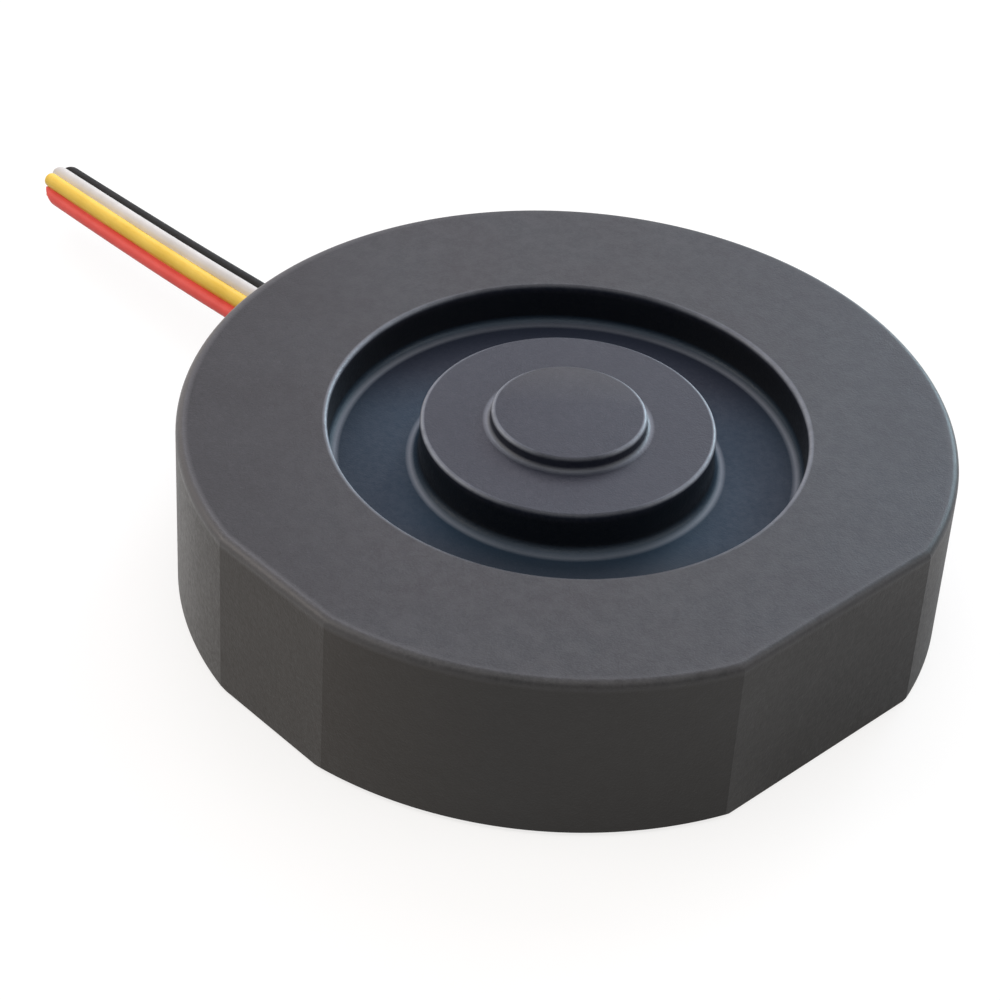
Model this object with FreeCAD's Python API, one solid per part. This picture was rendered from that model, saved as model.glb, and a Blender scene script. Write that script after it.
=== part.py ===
import FreeCAD, Part
import math
import os

# A compression load cell: a turned steel body whose thin web bends under the load on the
# centre button, four strain gauges under the web, and four bonded wires out of the back.
# Millimetres, +Z up. The origin is on the axis, in the plane of the base.
# +X is the wide flat, -Y the narrow flat, and the wires leave along -X.

# Turned body
body_diameter = 50.0
rim_height = 12.25
rim_edge_radius = 0.5
base_chamfer = 0.3
groove_diameter = 30.8
groove_depth = 3.0
groove_foot_radius = 0.6
groove_edge_radius = 0.25
boss_diameter = 19.0
boss_height = 3.0
boss_foot_radius = 0.8
boss_edge_radius = 0.25
button_diameter = 10.0
button_height = 0.9
button_foot_radius = 0.3
button_edge_radius = 0.25
web_thickness = 2.25
chamber_diameter = 31.0
chamber_corner_radius = 0.5

# Milled flats
wide_flat_depth = 1.4
narrow_flat_depth = 0.48
flat_edge = 0.2

# Cover under the gauge chamber
cover_thickness = 0.7
cover_recess = 0.4
cover_clearance = 0.15
cover_edge = 0.15
ledge_width = 2.5
ledge_edge = 0.2
adhesive_thickness = 0.1
adhesive_margin = 0.3

# Strain gauges, the first and third beside the boss, the others beside the chamber wall
gauge_azimuths = [45.0, 135.0, 225.0, 315.0]
gauge_edge_gap = 0.1
grid_strips = 6
strip_width = 0.14
strip_gap = 0.12
strip_length = 1.5
loop_length = 0.22
neck_length = 0.3
tab_length = 1.1
tab_width = 0.75
foil_thickness = 0.02
carrier_margin = 0.3
carrier_thickness = 0.06
carrier_corner_radius = 0.25

# Terminal board and what is soldered to it
board_gap = 1.0
board_thickness = 0.8
board_adhesive_margin = 0.3
pad_thickness = 0.05
pad_inset = 0.4
wire_pad_inset = 1.1
wire_pad_length = 2.0
wire_pad_gap = 0.5
gauge_pad_length = 1.3
chip_names = ["span_resistor_1", "balance_resistor", "span_resistor_2"]
chip_length = 1.6
chip_width = 0.8
chip_height = 0.45
chip_cap_length = 0.4
chip_pitch = 1.7
chip_offset = 1.6
lead_diameter = 0.2
lead_lift = 0.03
lead_drop_gap = 0.3
lead_level_length = 0.8
solder_height = 0.35
solder_base_diameter = 0.64
solder_tip_diameter = 0.36
wire_solder_height = 0.7
wire_solder_base_diameter = 0.84
wire_solder_tip_diameter = 0.64

# Wires, bonded in an arch from +Y to -Y, and how much shorter than the longest each is cut
wire_names = ["black", "white", "yellow", "red"]
wire_cut_back = [0.0, 0.15, 0.75, 0.9]
wire_diameter = 1.05
wire_bond_gap = 0.03
wire_row_pitch = 1.55
conductor_diameter = 0.5
conductor_lift = 0.05
conductor_tail = 1.5
wire_hole_rise = 0.35
seal_wall = 0.25
seal_recess = 0.4

# Slope from each wire to the next where they leave, in degrees, upward as positive
exit_slopes = (12.0, -16.0, -60.0)

# Middle of the four wires behind the body: how far out, along Y and up, and the slopes there
wire_inner_end = 3.4
wire_wall_point = 0.6
wire_free_points = [
    (2.5, 0.0, 0.0, exit_slopes),
    (16.0, -0.98, -0.1, (16.0, -9.0, -65.0)),
    (29.35, -1.11, -0.53, (21.0, 0.0, -74.0)),
]
run_share = 0.45

# Radii and levels that follow
body_radius = body_diameter / 2
groove_radius = groove_diameter / 2
boss_radius = boss_diameter / 2
button_radius = button_diameter / 2
chamber_radius = chamber_diameter / 2
seat_radius = chamber_radius + ledge_width
seat_level = cover_recess + cover_thickness + adhesive_thickness
groove_level = rim_height - groove_depth
boss_level = groove_level + boss_height
button_level = boss_level + button_height
web_level = groove_level - web_thickness
wire_level = (seat_level + web_level) / 2 + wire_hole_rise
wire_pitch = wire_diameter + wire_bond_gap
grid_pitch = strip_width + strip_gap
grid_outer = strip_length / 2 + loop_length
grid_inner = -grid_outer
tab_inner = grid_inner - neck_length - tab_length
tab_offset = (grid_strips - 1) * grid_pitch / 2
carrier_outer = grid_outer + carrier_margin
carrier_inner = tab_inner - carrier_margin
carrier_width = 2 * (tab_offset + tab_width / 2 + carrier_margin)
near_gauge_radius = boss_radius + gauge_edge_gap - grid_inner
far_gauge_radius = chamber_radius - chamber_corner_radius - gauge_edge_gap - carrier_outer
grid_level = web_level - carrier_thickness
foil_level = grid_level - foil_thickness
board_radius = near_gauge_radius + carrier_inner - board_gap
board_top = web_level - adhesive_thickness
board_level = board_top - board_thickness
pad_level = board_level - pad_thickness
gauge_pad_radius = board_radius - pad_inset - gauge_pad_length / 2
wire_pad_outer = -(board_radius - wire_pad_inset)

DOWN = FreeCAD.Vector(0, 0, -1)
UP = FreeCAD.Vector(0, 0, 1)
AXIS_POINT = FreeCAD.Vector(0, 0, 0)


def turned(corners):
    """Revolves a half section of corners (radius, level, kind, size), each sharp, bevel or round."""
    points = [FreeCAD.Vector(corner[0], 0, corner[1]) for corner in corners]
    edges = []
    last = None
    first = None
    for i, (_, _, kind, size) in enumerate(corners):
        point = points[i]
        back = (points[i - 1] - point).normalize()
        ahead = (points[(i + 1) % len(points)] - point).normalize()
        half_turn = (math.pi - back.getAngle(ahead)) / 2
        reach = {"sharp": 0.0, "bevel": size, "round": size * math.tan(half_turn)}[kind]
        start = point + back * reach
        end = point + ahead * reach
        if last is not None:
            edges.append(Part.LineSegment(last, start).toShape())
        if kind == "bevel":
            edges.append(Part.LineSegment(start, end).toShape())
        if kind == "round":
            inset = size / math.cos(half_turn) - size
            middle = point + (back + ahead).normalize() * inset
            edges.append(Part.Arc(start, middle, end).toShape())
        first = first or start
        last = end
    edges.append(Part.LineSegment(last, first).toShape())
    return Part.Face(Part.Wire(edges)).revolve(AXIS_POINT, UP, 360)


def ring(outer_radius, inner_radius, level, thickness):
    base = FreeCAD.Vector(0, 0, level)
    outer = Part.makeCylinder(outer_radius, thickness, base)
    return outer.cut(Part.makeCylinder(inner_radius, thickness, base))


def block(x_low, x_high, width, y_middle, z_low, z_high):
    corner = FreeCAD.Vector(x_low, y_middle - width / 2, z_low)
    return Part.makeBox(x_high - x_low, width, z_high - z_low, corner)


def turned_to(shape, azimuth):
    copy = shape.copy()
    copy.rotate(AXIS_POINT, UP, azimuth)
    return copy


def rounded_path(points, label):
    """Straight runs joined by tangent arcs, each as large as its two runs allow."""
    edges = []
    last = points[0]
    radii = []
    for before, point, after in zip(points, points[1:], points[2:]):
        back = before - point
        ahead = after - point
        reach = run_share * min(back.Length, ahead.Length)
        back.normalize()
        ahead.normalize()
        half_turn = (math.pi - back.getAngle(ahead)) / 2
        radius = reach / math.tan(half_turn)
        middle = point + (back + ahead).normalize() * (radius / math.cos(half_turn) - radius)
        start = point + back * reach
        end = point + ahead * reach
        edges.append(Part.LineSegment(last, start).toShape())
        edges.append(Part.Arc(start, middle, end).toShape())
        radii.append(round(radius, 1))
        last = end
    edges.append(Part.LineSegment(last, points[-1]).toShape())
    print(label, "bend radii", radii)
    return edges


def tube(edges, diameter, bore=0.0):
    """Sweeps a round section along the edges, which start with a straight run."""
    path = Part.Wire(edges)
    start = edges[0].Vertexes[0].Point
    direction = edges[0].tangentAt(edges[0].FirstParameter)
    section = Part.Face(Part.Wire(Part.makeCircle(diameter / 2, start, direction)))
    area = math.pi * diameter**2 / 4
    if bore:
        section = section.cut(Part.Face(Part.Wire(Part.makeCircle(bore / 2, start, direction)))).Faces[0]
        area -= math.pi * bore**2 / 4
    solid = path.makePipe(section)
    print("tube volume over section times length", round(solid.Volume / (area * path.Length), 5))
    return solid


def spring_element():
    body = turned(
        [
            (0, button_level, "sharp", 0),
            (button_radius, button_level, "round", button_edge_radius),
            (button_radius, boss_level, "round", button_foot_radius),
            (boss_radius, boss_level, "round", boss_edge_radius),
            (boss_radius, groove_level, "round", boss_foot_radius),
            (groove_radius, groove_level, "round", groove_foot_radius),
            (groove_radius, rim_height, "round", groove_edge_radius),
            (body_radius, rim_height, "round", rim_edge_radius),
            (body_radius, 0, "bevel", base_chamfer),
            (seat_radius, 0, "bevel", ledge_edge),
            (seat_radius, seat_level, "sharp", 0),
            (chamber_radius, seat_level, "bevel", ledge_edge),
            (chamber_radius, web_level, "round", chamber_corner_radius),
            (0, web_level, "sharp", 0),
        ]
    )
    for depth, azimuth in ((wide_flat_depth, 0), (narrow_flat_depth, -90)):
        body = body.cut(turned_to(flat_waste(depth), azimuth))
    return body.cut(wire_hole())


def flat_waste(depth):
    """What is milled off for a flat on the +X side: its top edge is rounded, its foot broken."""
    face = body_radius - depth
    outer = body_radius + depth
    above = rim_height + flat_edge
    round_middle = rim_edge_radius * (1 - math.sqrt(0.5))
    corners = [
        (face - rim_edge_radius, rim_height),
        (face - rim_edge_radius, above),
        (outer, above),
        (outer, -flat_edge),
        (face - 2 * flat_edge, -flat_edge),
        (face, flat_edge),
        (face, rim_height - rim_edge_radius),
    ]
    points = [FreeCAD.Vector(x, -body_radius, z) for x, z in corners]
    middle = FreeCAD.Vector(face - round_middle, -body_radius, rim_height - round_middle)
    edges = [Part.LineSegment(a, b).toShape() for a, b in zip(points, points[1:])]
    edges.append(Part.Arc(points[-1], middle, points[0]).toShape())
    section = Part.Face(Part.Wire(edges))
    return section.extrude(FreeCAD.Vector(0, body_diameter, 0))


def arch(slopes):
    """Where the wires lie about their middle, (along Y, up), each one pitch from the last."""
    places = [(0.0, 0.0)]
    for slope in slopes:
        y, z = places[-1]
        turn = math.radians(slope)
        places.append((y - wire_pitch * math.cos(turn), z + wire_pitch * math.sin(turn)))
    middle_y = sum(y for y, _ in places) / len(places)
    middle_z = sum(z for _, z in places) / len(places)
    return [(y - middle_y, z - middle_z) for y, z in places]


def wire_hole():
    """The round hole through the back wall, which leaves a wall of sealant round the wires."""
    reach = max(math.hypot(y, z) for y, z in arch(exit_slopes))
    radius = reach + wire_diameter / 2 + seal_wall
    outer = body_radius + seal_wall
    inner = chamber_radius - chamber_corner_radius
    start = FreeCAD.Vector(-outer, 0, wire_level)
    return Part.makeCylinder(radius, outer - inner, start, FreeCAD.Vector(1, 0, 0))


def wire_seal(wires):
    """The sealant that fills the hole round the wires, a little short of the outer wall."""
    wall = ring(body_radius - seal_recess, chamber_radius, 0, web_level)
    return wire_hole().common(wall).cut(Part.makeCompound(wires))


def base_cover():
    radius = seat_radius - cover_clearance
    top = cover_recess + cover_thickness
    return turned(
        [
            (0, top, "sharp", 0),
            (radius, top, "bevel", cover_edge),
            (radius, cover_recess, "bevel", cover_edge),
            (0, cover_recess, "sharp", 0),
        ]
    )


def cover_adhesive():
    inner = chamber_radius + adhesive_margin
    outer = seat_radius - cover_clearance - adhesive_margin
    return ring(outer, inner, cover_recess + cover_thickness, adhesive_thickness)


def gauge_radius(number):
    return near_gauge_radius if number % 2 == 0 else far_gauge_radius


def on_web(shape, number):
    """Takes a shape drawn about a gauge's middle, with +X outward, to the gauge's place."""
    copy = shape.copy()
    copy.translate(FreeCAD.Vector(gauge_radius(number), 0, 0))
    return turned_to(copy, gauge_azimuths[number])


def gauge_carrier():
    film = block(carrier_inner, carrier_outer, carrier_width, 0, grid_level, web_level)
    upright = [edge for edge in film.Edges if abs(edge.tangentAt(edge.FirstParameter).z) > 0.99]
    return film.makeFillet(carrier_corner_radius, upright)


def gauge_grid():
    """One foil track to and fro along the strain, with a solder tab at each end."""
    pieces = []
    for i in range(grid_strips):
        middle = i * grid_pitch - tab_offset
        outermost = i in (0, grid_strips - 1)
        inner = grid_inner - neck_length if outermost else grid_inner
        pieces.append(block(inner, grid_outer, strip_width, middle, foil_level, grid_level))
        if outermost:
            pieces.append(block(tab_inner, inner, tab_width, middle, foil_level, grid_level))
    for i in range(grid_strips - 1):
        middle = (i + 0.5) * grid_pitch - tab_offset
        low = grid_outer - loop_length if i % 2 == 0 else grid_inner
        width = grid_pitch + strip_width
        pieces.append(block(low, low + loop_length, width, middle, foil_level, grid_level))
    return pieces[0].multiFuse(pieces[1:]).removeSplitter()


def gauge_leads(number):
    """Two fine wires from a gauge's tabs, past the board's edge and onto its pads."""
    radius = gauge_radius(number)
    high = foil_level - lead_lift - lead_diameter / 2
    low = pad_level - lead_lift - lead_diameter / 2
    tab_middle = radius + tab_inner + tab_length / 2
    leads = []
    for side in (-1, 1):
        y = side * tab_offset
        points = [
            FreeCAD.Vector(tab_middle, y, high),
            FreeCAD.Vector(tab_middle - lead_level_length, y, high),
            FreeCAD.Vector(board_radius + lead_drop_gap, y, low),
            FreeCAD.Vector(gauge_pad_radius, y, low),
        ]
        lead = tube(rounded_path(points, "gauge lead"), lead_diameter)
        leads.append(turned_to(lead, gauge_azimuths[number]))
    return leads


def terminal_board():
    return Part.makeCylinder(board_radius, board_thickness, FreeCAD.Vector(0, 0, board_level))


def board_adhesive():
    radius = board_radius - board_adhesive_margin
    return Part.makeCylinder(radius, adhesive_thickness, FreeCAD.Vector(0, 0, board_top))


def row_offset(number):
    """How far a wire lies from the middle of the row at the board, towards +Y."""
    return ((len(wire_names) - 1) / 2 - number) * wire_row_pitch


def chip_places():
    middle = (len(chip_names) - 1) / 2
    return [(chip_offset, (i - middle) * chip_pitch) for i in range(len(chip_names))]


def board_pads():
    pads = []
    inner = wire_pad_outer + wire_pad_length
    for number in range(len(wire_names)):
        width = wire_row_pitch - wire_pad_gap
        pads.append(block(wire_pad_outer, inner, width, row_offset(number), pad_level, board_level))
    low = gauge_pad_radius - gauge_pad_length / 2
    high = gauge_pad_radius + gauge_pad_length / 2
    for azimuth in gauge_azimuths:
        for side in (-1, 1):
            pad = block(low, high, tab_width, side * tab_offset, pad_level, board_level)
            pads.append(turned_to(pad, azimuth))
    for x, y in chip_places():
        for side in (-1, 1):
            middle = x + side * (chip_length - chip_cap_length) / 2
            reach = chip_cap_length / 2
            pads.append(block(middle - reach, middle + reach, chip_width, y, pad_level, board_level))
    return Part.makeCompound(pads)


def chip_resistor(x, y):
    return block(x - chip_length / 2, x + chip_length / 2, chip_width, y, pad_level - chip_height, pad_level)


def solder_cone(place, height, base_diameter, tip_diameter):
    return Part.makeCone(base_diameter / 2, tip_diameter / 2, height, place, DOWN)


def solder_joints(leads, conductors):
    """A small cone of solder at each end of every lead, and one at each wire's tail."""
    joints = []
    for number in range(len(gauge_azimuths)):
        tab_middle = gauge_radius(number) + tab_inner + tab_length / 2
        places = ((tab_middle, foil_level), (gauge_pad_radius, pad_level))
        for radius, level in places:
            for side in (-1, 1):
                place = FreeCAD.Vector(radius, side * tab_offset, level)
                cone = solder_cone(place, solder_height, solder_base_diameter, solder_tip_diameter)
                joints.append(turned_to(cone, gauge_azimuths[number]))
    for number in range(len(wire_names)):
        place = FreeCAD.Vector(wire_pad_outer + wire_pad_length / 2, row_offset(number), pad_level)
        cone = solder_cone(place, wire_solder_height, wire_solder_base_diameter, wire_solder_tip_diameter)
        joints.append(cone)
    metal = Part.makeCompound(leads + conductors)
    return Part.makeCompound([joint.cut(metal) for joint in joints])


def wire_route(number):
    """A wire's points from its stripped end under the board to its cut end behind the body."""
    wall_y, wall_z = arch(exit_slopes)[number]
    inner = FreeCAD.Vector(-(board_radius + wire_inner_end), row_offset(number), wire_level)
    wall = FreeCAD.Vector(-(chamber_radius + wire_wall_point), wall_y, wire_level + wall_z)
    route = [inner, wall]
    for out, along, up, slopes in wire_free_points:
        y, z = arch(slopes)[number]
        route.append(FreeCAD.Vector(-(body_radius + out), along + y, wire_level + up + z))
    last_run = (route[-2] - route[-1]).normalize()
    route[-1] = route[-1] + last_run * wire_cut_back[number]
    return route


def wire_and_conductor(number):
    """The insulation, and the copper inside it that goes on as a bare tail to its pad."""
    route = wire_route(number)
    name = wire_names[number]
    covered = rounded_path(route, name + " wire")
    insulation = tube(covered, wire_diameter, conductor_diameter)
    tail_level = pad_level - conductor_lift - conductor_diameter / 2
    bend = route[0] + (route[0] - route[1]).normalize() * conductor_tail
    touch = FreeCAD.Vector(wire_pad_outer, route[0].y, tail_level)
    end = FreeCAD.Vector(wire_pad_outer + wire_pad_length / 2, route[0].y, tail_level)
    tail = rounded_path([end, touch, bend, route[0]], name + " tail")
    conductor = tube(tail + covered, conductor_diameter)
    return insulation, conductor


def save(shape, name):
    print(name, "valid", shape.isValid(), "solids", len(shape.Solids), "volume", round(shape.Volume, 4))
    shape.exportStep("parts/" + name + ".step")


def main():
    os.makedirs("parts", exist_ok=True)
    wires = []
    conductors = []
    leads = []
    for number, name in enumerate(wire_names):
        insulation, conductor = wire_and_conductor(number)
        wires.append(insulation)
        conductors.append(conductor)
        save(insulation, "wire_" + name)
        save(conductor, "conductor_" + name)
    for number in range(len(gauge_azimuths)):
        pair = gauge_leads(number)
        leads.extend(pair)
        label = str(number + 1)
        save(on_web(gauge_carrier(), number), "gauge_carrier_" + label)
        save(on_web(gauge_grid(), number), "gauge_grid_" + label)
        save(Part.makeCompound(pair), "gauge_leads_" + label)
    for name, (x, y) in zip(chip_names, chip_places()):
        save(chip_resistor(x, y), name)
    save(spring_element(), "spring_element")
    save(base_cover(), "base_cover")
    save(cover_adhesive(), "cover_adhesive")
    save(terminal_board(), "terminal_board")
    save(board_adhesive(), "board_adhesive")
    save(board_pads(), "board_pads")
    save(solder_joints(leads, conductors), "solder_joints")
    save(wire_seal(wires + conductors), "wire_seal")


main()
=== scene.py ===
"""Looks of a compression load cell: a blackened steel body and four bonded wires.

Metres, +Z up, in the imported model's frame: +X is the wide flat, -Y the narrow flat, -X the wires.
The sizes in the tables below are in millimetres unless their comment says otherwise.
"""

import math

import bpy
from mathutils import Matrix, Vector


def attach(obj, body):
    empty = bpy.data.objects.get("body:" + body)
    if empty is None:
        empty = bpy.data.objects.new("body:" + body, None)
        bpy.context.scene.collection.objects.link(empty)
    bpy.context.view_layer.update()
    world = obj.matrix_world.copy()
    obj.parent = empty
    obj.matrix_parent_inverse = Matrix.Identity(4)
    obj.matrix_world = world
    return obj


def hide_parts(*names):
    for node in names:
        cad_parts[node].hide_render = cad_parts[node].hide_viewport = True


MM = 0.001

# Camera: where it stands in metres, its axes, its lens and sensor, and its clipping range in metres
EYE = Vector((108.766, -114.298, 130.547)) * MM
FORWARD = Vector((-0.55472, 0.55375, -0.62101))
UPWARD = Vector((-0.48439, 0.39192, 0.78216))
LENS = 111.035
SENSOR = 36.0
CLIP_RANGE = (0.01, 20.0)

# Body: radii and levels of its turned forms
BODY_RADIUS = 25.0
GROOVE_RADIUS = 15.4
BOSS_RADIUS = 9.5
BUTTON_RADIUS = 5.0
BUTTON_TOP = 13.15
RIM_HEIGHT = 12.25
GROOVE_LEVEL = 9.25
RIM_ROUND = 0.5

# Its turned section, from the button round to the web: radius, level, and the radius of the edge there
SECTION = (
    (0.0, BUTTON_TOP, 0.0),
    (BUTTON_RADIUS, BUTTON_TOP, 0.25),
    (BUTTON_RADIUS, RIM_HEIGHT, 0.3),
    (BOSS_RADIUS, RIM_HEIGHT, 0.25),
    (BOSS_RADIUS, GROOVE_LEVEL, 0.8),
    (GROOVE_RADIUS, GROOVE_LEVEL, 0.6),
    (GROOVE_RADIUS, RIM_HEIGHT, 0.25),
    (BODY_RADIUS, RIM_HEIGHT, RIM_ROUND),
    (BODY_RADIUS, 0.3, 0.0),
    (24.9, 0.2, 0.0),
    (24.7, 0.0, 0.0),
    (18.2, 0.0, 0.0),
    (18.0, 0.2, 0.0),
    (18.0, 1.2, 0.0),
    (15.7, 1.2, 0.0),
    (15.5, 1.4, 0.0),
    (15.5, 7.0, 0.5),
    (0.0, 7.0, 0.0),
)
ROUND_STEPS = 12

# Milled flats: distance from the axis, azimuth in radians, how their foot is broken, and the least
# radius that they cut; then the steps of a ring's four stretches, from the wide flat on
WIDE_FLAT = 23.6
WIDE_AZIMUTH = 0.0
NARROW_FLAT = 24.52
NARROW_AZIMUTH = 1.5 * math.pi
FLAT_FOOT = 0.2
FLATS_FROM = 20.0
RING_STEPS = (26, 160, 16, 40)

# Hole that the wires leave by: its radius, and from where to where along X
HOLE_RADIUS = 2.237
HOLE_REACH = (-25.25, -15.0)
HOLE_STEPS = 64

# Edges sharper than these stay sharp in the shading, in radians
BODY_SHARP_FROM = math.radians(9)
WIRE_SHARP_FROM = math.radians(40)

# Wires, bonded in an arch from +Y to -Y: each one's cut-back, and the row they make at the board
WIRE_NAMES = ("black", "white", "yellow", "red")
CUT_BACK = (0.0, 0.15, 0.6, 0.6)
WIRE_DIAMETER = 1.05
WIRE_PITCH = 1.08
BORE_DIAMETER = 0.504
ROW_PITCH = 1.55
ROW_PLACE = (-10.3, 4.45)
EXIT_PLACE = (-25.0, 4.45)
EXIT_SLOPES = (12.0, -16.0, -60.0)
MIDDLE_ROUTE = (
    # x, y and z of the wires' middle, and the slope from each wire to the next in degrees
    (-16.1, 0.0, 4.45, EXIT_SLOPES),
    (-27.5, 0.0, 4.45, EXIT_SLOPES),
    (-41.0, -0.98, 4.35, (16.0, -9.0, -65.0)),
    (-54.35, -1.11, 3.92, (21.0, 0.0, -74.0)),
)
ROUTE_ORDER = 3
ROUTE_STEPS = 16
SECTION_STEPS = 72

# Webs between them: half their thickness, blend into the wire, gap in the middle, the parting in
# pitches from which a web thins and at which it ends, and the least sine that is divided by
WEB_HALF_THICKNESS = 0.2
WEB_BLEND = 0.04
WEB_GAP = 0.002
WEB_PARTING = (1.03, 1.2)
LEAST_SINE = 0.001

# Rounding of a cut end: rings at a distance from the tip, each with the scale of its outline, and
# the length next to the tip where they are the only rings
TIP_RINGS = ((0.3, 1.0), (0.16, 0.975), (0.06, 0.9), (0.015, 0.82), (0.0, 0.74))
TIP_LENGTH = 2.0

# The bundle's end is trimmed round: how far each wire falls back per millimetre across, and from where
TIP_ACROSS = (0.7, 0.71)
TIP_TRIM = ((0.8, 0.0), (0.4, 0.0), (0.0, 0.0), (-1.3, 0.3))

# Blackened steel: noises by the size of their blotches, detail and roughness
STEEL_IOR = 1.45
STEEL_NOISES = (
    (7.0, 4.0, 0.55),  # clouds
    (1.1, 4.0, 0.65),  # mottle
    (0.35, 3.0, 0.65),  # speckle
    (0.13, 2.0, 0.6),  # grain
)

# Its colours
STEEL_COLOURS = {
    "cloud_dark": (0.001, 0.003, 0.0035, 1.0),
    "cloud_light": (0.006, 0.0035, 0.0045, 1.0),
    # painted warm light on the walls below the rim
    "wall": (0.003, 0.001, 0.0, 1.0),
    "mottle": (0.024, 0.0235, 0.0245, 1.0),
    "speckle": (0.034, 0.033, 0.035, 1.0),
    "grain": (0.034, 0.034, 0.0357, 1.0),
    # painted warm light on the left of the part and painted bluish light on its right
    "left": (0.0015, 0.0003, 0.0, 1.0),
    "right": (0.006, 0.012, 0.022, 1.0),
    # painted light on the walls: warmer and lighter on the left than on the right
    "wall_left": (0.012, 0.0062, 0.0008, 1.0),
    "wall_right": (0.004, 0.0022, 0.0005, 1.0),
    # painted shade, near-black and bluish, on the walls of the groove
    "groove_side": (0.0003, 0.0014, 0.004, 1.0),
    # painted bluish highlight at the foot of the groove's walls
    "groove_foot": (0.006, 0.024, 0.048, 1.0),
    # painted bluish sheen on the tops of boss and button
    "boss_top": (0.002, 0.005, 0.018, 1.0),
    # painted light and shade on the groove's floor: a bluish painted reflection, darker towards the
    # outer wall, at the front and at the back
    "groove_inner": (0.002, 0.019, 0.042, 1.0),
    "groove_outer": (0.0005, 0.0105, 0.026, 1.0),
    "groove_front": (0.0005, 0.001, 0.004, 1.0),
    "groove_back": (0.004, 0.0065, 0.019, 1.0),
    # painted highlight on the back of the button's top
    "button_back_highlight": (0.036, 0.035, 0.036, 1.0),
    # painted highlight on the rim and on the edges of the flats
    "outer_painted_highlight": (0.3, 0.29, 0.3, 1.0),
    # painted highlight on the edges and feet of groove, boss and button
    "inner_painted_highlight": (0.36, 0.385, 0.44, 1.0),
}

# Where they lie: the range of a noise or of a place on the part, and the value at its two ends
STEEL_SPREADS = {
    "clouds": (0.35, 0.65, 0.0, 1.0),
    "mottle": (0.42, 0.62, 0.0, 0.6),
    "speckle": (0.45, 0.68, 0.0, 0.6),
    "grain": (0.45, 0.7, 0.0, 0.4),
    "wall": (RIM_HEIGHT - 0.7, RIM_HEIGHT - 0.2, 1.0, 0.0),
    "left": (-24.0, -10.0, 0.85, 0.0),
    "right": (6.0, 24.0, 0.0, 0.35),
    "wall_right": (-14.0, -4.0, 0.0, 1.0),
    "inside": (GROOVE_RADIUS + 0.05, GROOVE_RADIUS + 0.25, 1.0, 0.0),
    "groove_foot": (GROOVE_LEVEL + 0.1, GROOVE_LEVEL + 0.6, 1.0, 0.0),
    "groove_floor": (GROOVE_LEVEL + 0.03, GROOVE_LEVEL + 0.2, 1.0, 0.0),
    # where the painted shade on the groove's floor lies: towards the outer wall, at the front and at
    # the back
    "groove_outer": (11.0, 15.0, 0.0, 1.0),
    "groove_front": (-15.5, -10.5, 0.55, 0.0),
    "groove_back": (6.0, 13.0, 0.0, 1.0),
    # painted highlight on the back of the button's top
    "button_back_highlight": (1.0, 6.0, 0.0, 0.6),
    "button_top": (BUTTON_TOP - 0.2, BUTTON_TOP - 0.05, 0.0, 1.0),
    "patches": (0.3, 0.6, 0.75, 1.0),
    # edge_sides, foot_sides and rim_left: how strong the painted highlights are by side, most to the
    # left and right
    "edge_sides": (0.35, 0.9, 0.1, 1.0),
    "foot_sides": (0.35, 0.9, 0.18, 0.42),
    "rim_left": (-0.8, -0.2, 0.42, 0.1),
    "roughness": (0.35, 0.65, 0.4, 0.52),
}
# Direction from left to right, along which the painted light and the painted highlights vary
ACROSS = (0.68, 0.73)
WALL_SHARE = 0.8
BOSS_SHARE = 0.7
FLOOR_SHARE = 0.88

# Painted highlights on the edges and feet, which also lower the roughness there: (radius or distance
# from the axis, level), how far they reach, and their share
INNER_EDGES = ((BOSS_RADIUS, RIM_HEIGHT), (BUTTON_RADIUS, BUTTON_TOP))
INNER_REACH = 0.3
LIP_EDGE = (GROOVE_RADIUS, RIM_HEIGHT)
LIP_REACH = 0.35
LIP_SHARE = 0.75
FOOT_LINES = ((10.08, 9.32), (14.9, 9.3), (5.25, 12.3))
FOOT_REACH = 0.3
RIM_EDGE = (BODY_RADIUS, RIM_HEIGHT)
NARROW_FLAT_EDGE = (-NARROW_FLAT, RIM_HEIGHT)
WIDE_FLAT_EDGE = (WIDE_FLAT, RIM_HEIGHT)
OUTER_REACH = 0.8
WIDE_FLAT_SHARE = 0.12

# Its roughness follows clouds and speckle, more on the groove's floor and less on the edges that carry
# the painted highlights
ROUGH_CLOUDS = 0.3
ROUGH_SPECKLE = 0.7
FLOOR_ROUGHER = 0.19
WEAR_SMOOTHER = 0.18
BUMP_COARSE = 0.9
BUMP_DEPTH = 0.017
BUMP_STRENGTH = 0.9

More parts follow.
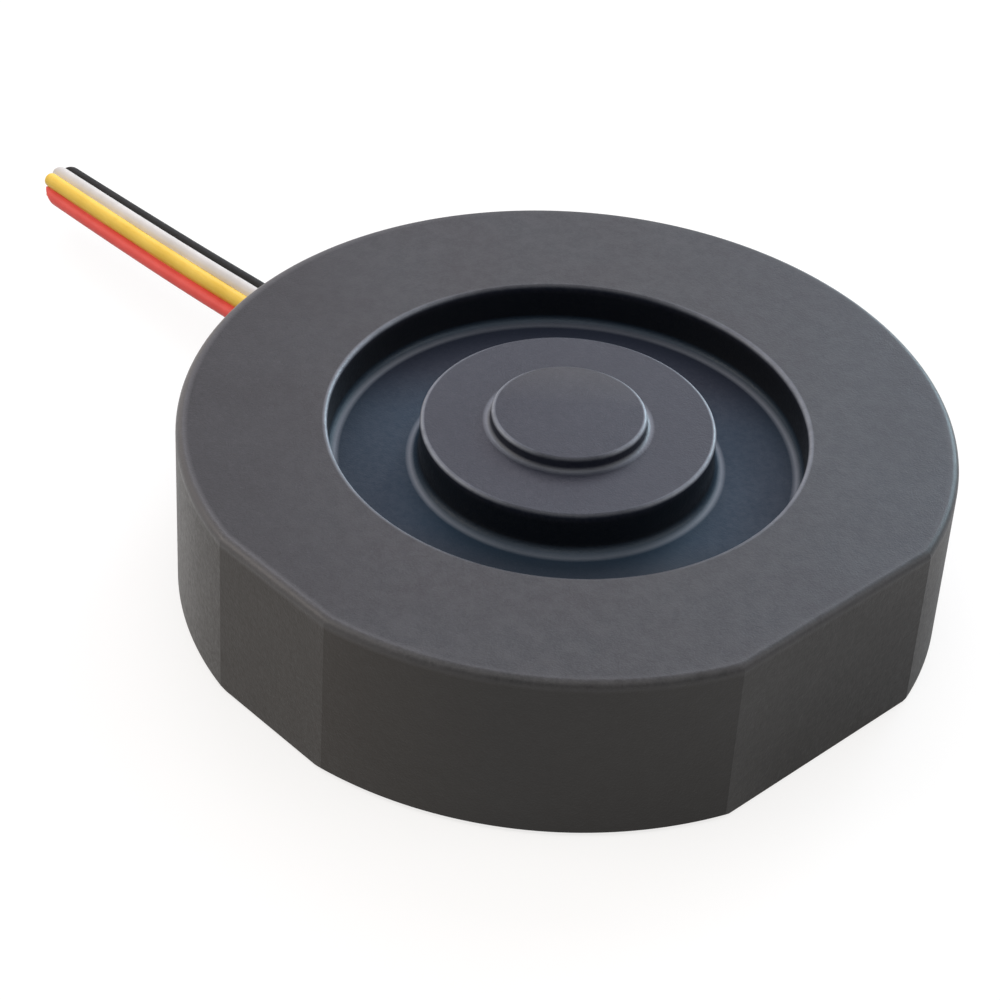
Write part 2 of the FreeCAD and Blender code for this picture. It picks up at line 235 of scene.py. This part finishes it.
# Plain finishes: two colours, size of the blotches, roughness, depth of the bump, shader settings
METAL = {"Metallic": 1.0}
PLAIN_FINISHES = {
    "pvc_black": ((0.006, 0.0055, 0.005), (0.012, 0.011, 0.01), 2.0, 0.6, 0.01, {"IOR": 1.35}),
    "pvc_white": ((0.58, 0.55, 0.52), (0.66, 0.62, 0.59), 2.0, 0.5, 0.01, {}),
    "pvc_yellow": ((0.82, 0.52, 0.05), (0.9, 0.6, 0.085), 2.0, 0.5, 0.01, {}),
    "pvc_red": ((0.78, 0.07, 0.055), (0.88, 0.1, 0.08), 2.0, 0.5, 0.01, {}),
    "copper": ((0.6, 0.3, 0.17), (0.8, 0.46, 0.3), 0.4, 0.35, 0.01, METAL),
    "gauge_foil": ((0.6, 0.5, 0.4), (0.74, 0.64, 0.52), 0.2, 0.4, 0.002, METAL),
    "polyimide": ((0.5, 0.2, 0.02), (0.66, 0.32, 0.05), 0.6, 0.25, 0.002, {}),
    "board_laminate": ((0.02, 0.13, 0.06), (0.04, 0.2, 0.1), 0.5, 0.45, 0.01, {}),
    "chip_ceramic": ((0.025, 0.025, 0.027), (0.05, 0.05, 0.05), 0.2, 0.6, 0.01, {}),
    "solder": ((0.5, 0.5, 0.49), (0.7, 0.7, 0.68), 0.2, 0.35, 0.01, METAL),
    "sealant": ((0.02, 0.02, 0.02), (0.04, 0.04, 0.038), 0.8, 0.55, 0.03, {}),
    "adhesive": ((0.4, 0.34, 0.24), (0.52, 0.46, 0.34), 0.6, 0.5, 0.02, {}),
}
PLAIN_RANGE = (0.3, 0.7)
PLAIN_GRAIN = 1 / 8
PLAIN_DETAIL = 2.0
PLAIN_BUMP = 0.4
PLAIN_ROUGHNESS = 0.06

# Which finish a node takes, by the start of its name
NODE_FINISH = (
    ("conductor_", "copper"),
    ("gauge_carrier_", "polyimide"),
    ("gauge_grid_", "gauge_foil"),
    ("gauge_leads_", "copper"),
    ("board_pads", "copper"),
    ("terminal_board", "board_laminate"),
    ("board_adhesive", "adhesive"),
    ("cover_adhesive", "adhesive"),
    ("balance_resistor", "chip_ceramic"),
    ("span_resistor_", "chip_ceramic"),
    ("solder_joints", "solder"),
    ("wire_seal", "sealant"),
    ("wire_black", "pvc_black"),
    ("wire_white", "pvc_white"),
    ("wire_yellow", "pvc_yellow"),
    ("wire_red", "pvc_red"),
    ("base_cover", "blackened_steel"),
    ("spring_element", "blackened_steel"),
)
FLAT_WEIGHT = 100

# Floor, its size and level in metres
FLOOR_SIZE = 6.0
FLOOR_LEVEL = -0.00003
FLOOR_GLOW = 0.77
FLOOR_TINT = (1.0, 0.99, 0.98, 1.0)
FLOOR_COLOUR = (0.25, 0.25, 0.25, 1.0)
FLOOR_ROUGHNESS = 0.9

# The floor that the steel mirrors is dimmer close to the part, a painted contact shadow seen only in
# reflections: round which point, how near, how dim
DIM_MIDDLE = (9.2, 7.7, 0.0)
DIM_REACH = (18.0, 31.0)
DIM_SHARE = 0.5

# Light: the world's, and soft boxes in metres and watts
WORLD_STRENGTH = 0.42
WORLD_TINT = (1.0, 0.99, 0.97, 1.0)
LIGHTS = (
    # name, azimuth and elevation it shines from, distance, width, height, power, colour
    ("overhead", 0.0, 90.0, 0.6, 0.6, 0.6, 1.0, (0.95, 0.95, 1.0)),
    ("front", 315.0, 58.0, 0.6, 0.6, 0.4, 0.5, (1.0, 0.98, 0.95)),
    ("behind", 131.0, 44.0, 0.6, 0.5, 0.4, 1.5, (0.89, 0.86, 1.0)),
    ("low_right", 102.0, 18.0, 0.6, 0.3, 0.25, 1.9, (0.66, 0.88, 1.0)),
    ("low_left", 168.0, 18.0, 0.6, 0.3, 0.25, 0.28, (1.0, 0.9, 0.82)),
    ("left", 225.0, 32.0, 0.6, 0.4, 0.3, 0.85, (1.0, 0.9, 0.8)),
    ("right", 42.0, 34.0, 0.6, 0.35, 0.3, 0.5, (1.0, 0.98, 0.96)),
)


def add_object(name, data):
    """A new object in the scene."""
    item = bpy.data.objects.new(name, data)
    bpy.context.scene.collection.objects.link(item)
    return item


class Graph:
    """A material's node tree, with short calls for the nodes that the finishes use."""

    # Sockets of the Mix node for colours
    MIX_FACTOR, MIX_A, MIX_B = 0, 6, 7
    MIX_RESULT = 2

    def __init__(self, name, **shader):
        self.material = bpy.data.materials.new(name)
        self.material.use_nodes = True
        self.nodes = self.material.node_tree.nodes
        self.links = self.material.node_tree.links
        self.shader = self.nodes["Principled BSDF"]
        for socket, value in shader.items():
            self.shader.inputs[socket.replace("_", " ")].default_value = value

    def set(self, socket, value):
        """Links a socket to a value that is a socket too, or sets its constant."""
        if isinstance(value, bpy.types.NodeSocket):
            self.links.new(value, socket)
        else:
            socket.default_value = value

    def add(self, kind, inputs=(), output=0, **settings):
        """Adds a node and gives its output."""
        node = self.nodes.new("ShaderNode" + kind)
        for name, value in settings.items():
            setattr(node, name, value)
        for key, value in dict(inputs).items():
            self.set(node.inputs[key], value)
        return node.outputs[output]

    def math(self, operation, a, b=0.0):
        return self.add("Math", {0: a, 1: b}, operation=operation)

    def sum_of_squares(self, a, b):
        return self.math("ADD", self.math("MULTIPLY", a, a), self.math("MULTIPLY", b, b))

    def place(self):
        """Coordinates on the part, in millimetres."""
        coordinates = self.add("TexCoord", output="Object")
        return self.add("VectorMath", {0: coordinates, "Scale": 1 / MM}, operation="SCALE")

    def noise(self, place, size, detail=3.0, roughness=0.55):
        """Noise from 0 to 1 whose blotches are about size millimetres across."""
        inputs = {"Vector": place, "Scale": 1 / size, "Detail": detail, "Roughness": roughness}
        return self.add("TexNoise", inputs, output="Fac")

    def spread(self, value, low, high, to_low=0.0, to_high=1.0):
        """Maps low..high to to_low..to_high and clamps it."""
        limits = {"From Min": low, "From Max": high, "To Min": to_low, "To Max": to_high}
        return self.add("MapRange", {"Value": value, **limits}, clamp=True)

    def mix(self, factor, a, b):
        """The colour a where factor is 0, b where it is 1."""
        inputs = {self.MIX_FACTOR: factor, self.MIX_A: a, self.MIX_B: b}
        return self.add("Mix", inputs, output=self.MIX_RESULT, data_type="RGBA")

    def bump(self, height, distance, strength):
        inputs = {"Height": height, "Distance": distance * MM, "Strength": strength}
        self.set(self.shader.inputs["Normal"], self.add("Bump", inputs))

    def finish(self, colour, roughness):
        self.set(self.shader.inputs["Base Color"], colour)
        self.set(self.shader.inputs["Roughness"], roughness)
        return self.material


class Steel(Graph):
    """The blackened steel's tree, with the noises and places on the part that its finish follows."""

    def __init__(self):
        super().__init__("blackened_steel", Metallic=0.0, IOR=STEEL_IOR)
        place = self.place()
        self.x, self.y, self.z = self.add("SeparateXYZ", {0: place}).node.outputs
        self.radius = self.math("SQRT", self.sum_of_squares(self.x, self.y))
        along = [self.math("MULTIPLY", axis, part) for axis, part in zip((self.x, self.y), ACROSS)]
        self.across = self.math("ADD", *along)
        self.aside = self.math("DIVIDE", self.across, self.radius)
        self.behind = self.math("SUBTRACT", self.y, self.x)
        noises = [self.noise(place, *settings) for settings in STEEL_NOISES]
        self.clouds, self.mottle, self.speckle, self.grain = noises

    def share(self, name, measure):
        """A noise or place spread over its named range."""
        return self.spread(measure, *STEEL_SPREADS[name])

    def lay(self, base, name, share):
        """Lays a named colour over the base."""
        return self.mix(share, base, STEEL_COLOURS[name])

    def between(self, share, name_a, name_b):
        return self.mix(share, STEEL_COLOURS[name_a], STEEL_COLOURS[name_b])

    def near(self, radius, lines, reach):
        """1 on lines given by radius and level, falling to 0 at reach millimetres from them."""
        nearest = None
        for line_radius, line_level in lines:
            aside = self.math("SUBTRACT", radius, line_radius)
            above = self.math("SUBTRACT", self.z, line_level)
            square = self.sum_of_squares(aside, above)
            nearest = square if nearest is None else self.math("MINIMUM", nearest, square)
        return self.spread(self.math("SQRT", nearest), 0.0, reach, 1.0, 0.0)

    def colour(self):
        """The colour with its painted light and shade, without the painted edge highlights, and how
        far each point is on the groove's floor.
        """
        wall = self.share("wall", self.z)
        walled = self.math("MULTIPLY", wall, WALL_SHARE)
        base = self.between(self.share("clouds", self.clouds), "cloud_dark", "cloud_light")
        # Painted warm light on the walls below the rim
        base = self.lay(base, "wall", walled)
        for name, measure in (
            ("mottle", self.mottle),
            ("speckle", self.speckle),
            ("grain", self.grain),
            # painted warm light to the left and painted bluish light to the right
            ("left", self.across),
            ("right", self.across),
        ):
            base = self.lay(base, name, self.share(name, measure))
        # Painted light on the walls, warmer and lighter to the left
        painted_wall_light = self.between(self.share("wall_right", self.across), "wall_left", "wall_right")
        base = self.mix(walled, base, painted_wall_light)
        inside = self.share("inside", self.radius)
        side = self.math("MULTIPLY", inside, wall)
        # Painted shade on the walls of the groove: near-black and bluish
        base = self.lay(base, "groove_side", side)
        # Painted bluish highlight at the foot of the groove's walls
        foot = self.math("MULTIPLY", side, self.share("groove_foot", self.z))
        base = self.lay(base, "groove_foot", foot)
        # Painted bluish sheen on the tops of boss and button
        raised = self.math("SUBTRACT", inside, side)
        base = self.lay(base, "boss_top", self.math("MULTIPLY", raised, BOSS_SHARE))
        # Painted light and shade on the groove's floor: a bluish painted reflection, darker towards
        # the outer wall, at the front and at the back
        sunk = self.math("MULTIPLY", inside, self.share("groove_floor", self.z))
        floor = self.between(self.share("groove_outer", self.radius), "groove_inner", "groove_outer")
        for name in ("groove_front", "groove_back"):
            floor = self.lay(floor, name, self.share(name, self.behind))
        base = self.mix(self.math("MULTIPLY", sunk, FLOOR_SHARE), base, floor)
        # Painted highlight on the back of the button's top
        button_back_highlight = self.share("button_back_highlight", self.behind)
        button_back_highlight = self.math("MULTIPLY", button_back_highlight, self.share("button_top", self.z))
        return self.lay(base, "button_back_highlight", button_back_highlight), sunk

    def outer_painted_highlight(self):
        """Painted highlight on the rim, most on its left, and on the edges of the flats."""
        rim = self.near(self.radius, (RIM_EDGE,), OUTER_REACH)
        rim = self.math("MAXIMUM", rim, self.near(self.y, (NARROW_FLAT_EDGE,), OUTER_REACH))
        rim = self.math("MULTIPLY", rim, self.share("rim_left", self.aside))
        wide = self.near(self.x, (WIDE_FLAT_EDGE,), OUTER_REACH)
        return self.math("MAXIMUM", rim, self.math("MULTIPLY", wide, WIDE_FLAT_SHARE))

    def inner_painted_highlight(self):
        """Painted highlights on the edges and feet of groove, boss and button, most to the left and
        right.
        """
        sides = self.math("ABSOLUTE", self.aside)
        edges = self.near(self.radius, INNER_EDGES, INNER_REACH)
        lip = self.near(self.radius, (LIP_EDGE,), LIP_REACH)
        edges = self.math("MAXIMUM", self.math("MULTIPLY", lip, LIP_SHARE), edges)
        patches = self.share("patches", self.mottle)
        patches = self.math("MULTIPLY", patches, self.share("edge_sides", sides))
        feet = self.near(self.radius, FOOT_LINES, FOOT_REACH)
        feet = self.math("MULTIPLY", feet, self.share("foot_sides", sides))
        return self.math("MAXIMUM", self.math("MULTIPLY", edges, patches), feet)

    def roughness(self, sunk, highlit_edges):
        clouds = self.math("MULTIPLY", self.clouds, ROUGH_CLOUDS)
        speckle = self.math("MULTIPLY", self.speckle, ROUGH_SPECKLE)
        rough = self.share("roughness", self.math("ADD", clouds, speckle))
        rough = self.math("ADD", rough, self.math("MULTIPLY", sunk, FLOOR_ROUGHER))
        return self.math("SUBTRACT", rough, self.math("MULTIPLY", highlit_edges, WEAR_SMOOTHER))


def blackened_steel():
    g = Steel()
    base, sunk = g.colour()
    outer, inner = g.outer_painted_highlight(), g.inner_painted_highlight()
    # Painted highlights on the edges, laid over the colour
    base = g.lay(base, "outer_painted_highlight", outer)
    base = g.lay(base, "inner_painted_highlight", inner)
    coarse = g.math("MULTIPLY", g.math("ADD", g.mottle, g.speckle), BUMP_COARSE)
    g.bump(g.math("ADD", g.grain, coarse), BUMP_DEPTH, BUMP_STRENGTH)
    return g.finish(base, g.roughness(sunk, g.math("MAXIMUM", outer, inner)))


def plain(name, dark, light, size, roughness, bump, shader):
    """A finish that varies between two colours, with a fine bump of the same grain."""
    g = Graph(name, **shader)
    place = g.place()
    blotches = g.noise(place, size)
    grain = g.noise(place, size * PLAIN_GRAIN, PLAIN_DETAIL)
    colour = g.mix(g.spread(blotches, *PLAIN_RANGE), (*dark, 1.0), (*light, 1.0))
    g.bump(grain, bump, PLAIN_BUMP)
    limits = (roughness - PLAIN_ROUGHNESS, roughness + PLAIN_ROUGHNESS)
    return g.finish(colour, g.spread(grain, *PLAIN_RANGE, *limits))


def make_finishes():
    finishes = {"blackened_steel": blackened_steel()}
    for name, settings in PLAIN_FINISHES.items():
        finishes[name] = plain(name, *settings)
    return finishes


def dress_nodes(nodes, finishes):
    for name, node in nodes.items():
        finish = next(slot for start, slot in NODE_FINISH if name.startswith(start))
        node.data.materials.clear()
        node.data.materials.append(finishes[finish])
        if finish == "blackened_steel":
            node.modifiers.new("flat_faces_first", "WEIGHTED_NORMAL").weight = FLAT_WEIGHT


def turned_section():
    """Points (radius, level) along the body's section, with its edges rounded."""
    points = []
    for i, (radius, level, edge) in enumerate(SECTION):
        corner = Vector((radius, level))
        if edge == 0.0:
            points.append(corner)
            continue
        back = (Vector(SECTION[i - 1][:2]) - corner).normalized()
        ahead = (Vector(SECTION[i + 1][:2]) - corner).normalized()
        centre = corner + (back + ahead) * edge
        for j in range(ROUND_STEPS + 1):
            turn = math.pi / 2 * j / ROUND_STEPS
            points.append(centre - (ahead * math.cos(turn) + back * math.sin(turn)) * edge)
    return points


def body_ring(radius, level):
    """Points round the body at one place of its section, nearer to the axis on the flats."""
    if radius == 0.0:
        return [Vector((0.0, 0.0, level)) * MM]
    milled = radius > FLATS_FROM
    inset = 0.0
    if milled:
        rounded = BODY_RADIUS - radius if level > RIM_HEIGHT - RIM_ROUND else 0.0
        inset = max(rounded, FLAT_FOOT - level, 0.0)
    size = radius if milled else BODY_RADIUS
    wide = math.acos((WIDE_FLAT - inset) / size)
    narrow = math.acos((NARROW_FLAT - inset) / size)
    stretches = (
        # from and to in radians, and a flat's distance and azimuth
        (-wide, wide, WIDE_FLAT - inset, WIDE_AZIMUTH),
        (wide, NARROW_AZIMUTH - narrow, None, None),
        (NARROW_AZIMUTH - narrow, NARROW_AZIMUTH + narrow, NARROW_FLAT - inset, NARROW_AZIMUTH),
        (NARROW_AZIMUTH + narrow, 2 * math.pi - wide, None, None),
    )
    points = []
    for steps, (start, stop, flat, middle) in zip(RING_STEPS, stretches):
        for i in range(steps):
            azimuth = start + (stop - start) * i / steps
            reach = flat / math.cos(azimuth - middle) if milled and flat else radius
            points.append(Vector((reach * math.cos(azimuth), reach * math.sin(azimuth), level)) * MM)
    return points


def body_mesh():
    """The section turned round the axis, with a fan of faces where it meets the axis."""
    rings = [body_ring(*point) for point in turned_section()]
    count = sum(RING_STEPS)
    firsts = [0]
    for ring in rings:
        firsts.append(firsts[-1] + len(ring))
    faces = []
    for i in range(len(rings) - 1):
        above, below = firsts[i], firsts[i + 1]
        for j in range(count):
            k = (j + 1) % count
            upper = [above + j, above + k] if len(rings[i]) > 1 else [above]
            lower = [below + k, below + j] if len(rings[i + 1]) > 1 else [below]
            faces.append((upper + lower)[::-1])
    mesh = bpy.data.meshes.new("turned_body")
    mesh.from_pydata([point for ring in rings for point in ring], [], faces)
    return mesh


def drill_mesh():
    """A rod along X that cuts the hole in the back wall."""
    vertices = []
    for x in HOLE_REACH:
        for j in range(HOLE_STEPS):
            turn = 2 * math.pi * j / HOLE_STEPS
            aside, above = HOLE_RADIUS * math.cos(turn), HOLE_RADIUS * math.sin(turn)
            vertices.append(Vector((x, aside, EXIT_PLACE[1] + above)) * MM)
    near = list(range(HOLE_STEPS))
    far = [HOLE_STEPS + j for j in near]
    faces = [near[::-1], far]
    for j in near:
        k = (j + 1) % HOLE_STEPS
        faces.append((near[j], near[k], far[k], far[j]))
    mesh = bpy.data.meshes.new("drill")
    mesh.from_pydata(vertices, [], faces)
    return mesh


def make_body(finishes):
    """The body with finer edges than its node's, and the same form."""
    piece = add_object("turned_body", body_mesh())
    drill = add_object("drill", drill_mesh())
    hole = piece.modifiers.new("wire_hole", "BOOLEAN")
    hole.operation = "DIFFERENCE"
    hole.solver = "EXACT"
    hole.object = drill
    drilled = piece.evaluated_get(bpy.context.evaluated_depsgraph_get())
    piece.data = bpy.data.meshes.new_from_object(drilled)
    piece.modifiers.clear()
    bpy.data.objects.remove(drill)
    piece.data.shade_smooth()
    piece.data.set_sharp_from_angle(angle=BODY_SHARP_FROM)
    normals = piece.modifiers.new("flat_faces_first", "WEIGHTED_NORMAL")
    normals.keep_sharp = True
    piece.data.materials.clear()
    piece.data.materials.append(finishes["blackened_steel"])
    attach(piece, "root")
    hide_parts("spring_element")


def arch(slopes):
    """Where the wires lie about their middle, (along Y, up) in millimetres."""
    places = [Vector((0.0, 0.0))]
    for slope in slopes:
        turn = math.radians(slope)
        places.append(places[-1] + Vector((-math.cos(turn), math.sin(turn))) * WIRE_PITCH)
    middle = sum(places, Vector((0.0, 0.0))) / len(places)
    return [place - middle for place in places]


def wire_route(number):
    """Control points of one wire, in metres."""
    row = ((len(WIRE_NAMES) - 1) / 2 - number) * ROW_PITCH
    points = [Vector((ROW_PLACE[0], row, ROW_PLACE[1])) * MM]
    for x, y, z, slopes in MIDDLE_ROUTE:
        along, up = arch(slopes)[number]
        points.append(Vector((x, y + along, z + up)) * MM)
    last_run = (points[-2] - points[-1]).normalized()
    points[-1] = points[-1] + last_run * CUT_BACK[number] * MM
    return points


def smooth_line(points):
    """Points read from the NURBS spline that has these control points."""
    curve = bpy.data.curves.new("route", "CURVE")
    curve.dimensions = "3D"
    spline = curve.splines.new("NURBS")
    spline.points.add(len(points) - 1)
    for slot, point in zip(spline.points, points):
        slot.co = (*point, 1.0)
    spline.order_u = ROUTE_ORDER
    spline.use_endpoint_u = True
    spline.resolution_u = ROUTE_STEPS
    holder = add_object("route", curve)
    mesh = bpy.data.meshes.new_from_object(holder)
    line = [vertex.co.copy() for vertex in mesh.vertices]
    bpy.data.objects.remove(holder)
    bpy.data.curves.remove(curve)
    bpy.data.meshes.remove(mesh)
    return line


def wire_outline(neighbours):
    """Points about a wire's middle, in millimetres: a circle with a web towards each neighbour."""
    radius = WIRE_DIAMETER / 2
    outline = []
    for j in range(SECTION_STEPS):
        angle = 2 * math.pi * j / SECTION_STEPS
        reach = radius
        for direction, distance in neighbours:
            turn = abs(math.remainder(angle - direction, 2 * math.pi))
            parting = (distance / WIRE_PITCH - WEB_PARTING[0]) / (WEB_PARTING[1] - WEB_PARTING[0])
            web = WEB_HALF_THICKNESS * (1 - min(max(parting, 0.0), 1.0))
            if turn < math.pi / 2 and web > 0:
                flat = (distance / 2 - WEB_GAP) / math.cos(turn)
                edge = min(flat, web / max(math.sin(turn), LEAST_SINE))
                blended = (reach + edge + math.hypot(reach - edge, WEB_BLEND)) / 2
                reach = min(max(blended, reach), max(flat, reach))
        outline.append((reach * math.cos(angle), reach * math.sin(angle)))
    return outline


def wire_stations(number, lines):
    """For each place along a wire: its middle, the axes of its section, its outline, and its trim."""
    line = lines[number]
    stations = []
    for i, point in enumerate(line):
        along = (line[min(i + 1, len(line) - 1)] - line[max(i - 1, 0)]).normalized()
        aside = (Vector((0, 1, 0)) - along * along.y).normalized()
        axes = (aside, aside.cross(along), along)
        neighbours = []
        for other in (number - 1, number + 1):
            if 0 <= other < len(lines):
                step = (lines[other][i] - point) / MM
                across, above = step.dot(axes[0]), step.dot(axes[1])
                neighbours.append((math.atan2(above, across), math.hypot(across, above)))
        stations.append((point, axes, wire_outline(neighbours), (0.0, 0.0)))
    tip, axes, outline, _ = stations[-1]
    stations = [station for station in stations if (tip - station[0]).length > TIP_LENGTH * MM]
    for back, scale in TIP_RINGS:
        ring = [(a * scale, b * scale) for a, b in outline]
        stations.append((tip - axes[2] * back * MM, axes, ring, TIP_TRIM[number]))
    return stations


def section_point(station, a, b):
    """The place on a wire that lies a aside and b above its middle, in metres."""
    middle, (aside, above, along), _, (fall, start) = station
    back = max(0.0, fall * (a * TIP_ACROSS[0] + b * TIP_ACROSS[1] - start))
    return middle + (aside * a + above * b - along * back) * MM


def wire_mesh(number, lines):
    """A tube with a bore along one wire's line, rounded at its cut end."""
    stations = wire_stations(number, lines)
    count = SECTION_STEPS
    vertices = []
    for station in stations:
        vertices += [section_point(station, a, b) for a, b in station[2]]
    for station in stations:
        for a, b in station[2]:
            reach = BORE_DIAMETER / 2 / math.hypot(a, b)
            vertices.append(section_point(station, a * reach, b * reach))
    faces = []
    inner = len(stations) * count
    for i in range(len(stations) - 1):
        for j in range(count):
            a, b = i * count + j, i * count + (j + 1) % count
            faces.append((a, a + count, b + count, b))
            faces.append((inner + a, inner + b, inner + b + count, inner + a + count))
    last = (len(stations) - 1) * count
    for j in range(count):
        k = (j + 1) % count
        faces.append((j, k, inner + k, inner + j))
        faces.append((last + j, inner + last + j, inner + last + k, last + k))
    mesh = bpy.data.meshes.new("wire_" + WIRE_NAMES[number])
    mesh.from_pydata(vertices, [], faces)
    mesh.validate()
    mesh.shade_smooth()
    mesh.set_sharp_from_angle(angle=WIRE_SHARP_FROM)
    return mesh


def make_wires(finishes):
    lines = [smooth_line(wire_route(number)) for number in range(len(WIRE_NAMES))]
    for number, name in enumerate(WIRE_NAMES):
        piece = add_object("bonded_wire_" + name, wire_mesh(number, lines))
        piece.data.materials.append(finishes["pvc_" + name])
        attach(piece, "root")
        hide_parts("wire_" + name)


def make_camera():
    data = bpy.data.cameras.new("camera")
    data.lens = LENS
    data.sensor_width = SENSOR
    data.clip_start, data.clip_end = CLIP_RANGE
    camera = add_object("camera", data)
    right = FORWARD.cross(UPWARD).normalized()
    up = right.cross(FORWARD).normalized()
    axes = Matrix((right, up, -FORWARD.normalized())).transposed()
    camera.matrix_world = Matrix.Translation(EYE) @ axes.to_4x4()
    bpy.context.scene.camera = camera


def make_floor():
    half = FLOOR_SIZE / 2
    corners = [(-half, -half, 0), (half, -half, 0), (half, half, 0), (-half, half, 0)]
    mesh = bpy.data.meshes.new("floor")
    mesh.from_pydata(corners, [], [(0, 1, 2, 3)])
    floor = add_object("floor", mesh)
    floor.location.z = FLOOR_LEVEL
    g = Graph("floor", Specular_IOR_Level=0.0, Emission_Color=FLOOR_TINT)
    seen = g.add("LightPath", output="Is Camera Ray")
    rays = seen.node.outputs
    mirrored = g.math("MAXIMUM", rays["Is Glossy Ray"], rays["Is Transmission Ray"])
    # Painted contact shadow: the glow that reflections see is dimmer close to the part
    distance = g.add("VectorMath", {0: g.place(), 1: DIM_MIDDLE}, output="Value", operation="DISTANCE")
    mirrored = g.math("MULTIPLY", mirrored, g.spread(distance, *DIM_REACH, DIM_SHARE, 1.0))
    glow = g.math("MULTIPLY", g.math("MAXIMUM", seen, mirrored), FLOOR_GLOW)
    g.set(g.shader.inputs["Emission Strength"], glow)
    mesh.materials.append(g.finish(FLOOR_COLOUR, FLOOR_ROUGHNESS))


def make_world():
    """Light from all round; the camera itself sees a plain pale grey beyond the floor."""
    world = bpy.data.worlds.new("studio")
    world.use_nodes = True
    bpy.context.scene.world = world
    tree = world.node_tree
    tree.nodes.clear()
    light = tree.nodes.new("ShaderNodeBackground")
    light.inputs["Color"].default_value = WORLD_TINT
    light.inputs["Strength"].default_value = WORLD_STRENGTH
    seen = tree.nodes.new("ShaderNodeBackground")
    path = tree.nodes.new("ShaderNodeLightPath")
    mix = tree.nodes.new("ShaderNodeMixShader")
    output = tree.nodes.new("ShaderNodeOutputWorld")
    tree.links.new(path.outputs["Is Camera Ray"], mix.inputs["Fac"])
    tree.links.new(light.outputs[0], mix.inputs[1])
    tree.links.new(seen.outputs[0], mix.inputs[2])
    tree.links.new(mix.outputs[0], output.inputs[0])


def make_lights():
    """Soft boxes round the part, each turned to its middle; azimuth 0 is +X and 90 is +Y."""
    for name, azimuth, elevation, distance, width, height, power, colour in LIGHTS:
        data = bpy.data.lights.new(name, "AREA")
        data.shape = "RECTANGLE"
        data.size = width
        data.size_y = height
        data.energy = power
        data.color = colour
        lamp = add_object(name, data)
        turn, rise = math.radians(azimuth), math.radians(elevation)
        level = math.cos(rise)
        towards = Vector((math.cos(turn) * level, math.sin(turn) * level, math.sin(rise)))
        lamp.location = towards * distance
        lamp.rotation_euler = towards.to_track_quat("Z", "Y").to_euler()


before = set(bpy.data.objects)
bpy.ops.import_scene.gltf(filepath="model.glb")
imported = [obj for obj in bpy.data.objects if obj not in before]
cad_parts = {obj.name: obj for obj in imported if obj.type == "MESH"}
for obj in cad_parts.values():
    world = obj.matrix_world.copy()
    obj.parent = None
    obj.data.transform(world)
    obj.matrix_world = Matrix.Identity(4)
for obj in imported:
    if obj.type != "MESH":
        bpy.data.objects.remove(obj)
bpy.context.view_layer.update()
make_camera()
finishes = make_finishes()
dress_nodes(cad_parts, finishes)
make_body(finishes)
make_wires(finishes)
make_floor()
make_world()
make_lights()
bpy.context.scene.view_settings.view_transform = "Standard"
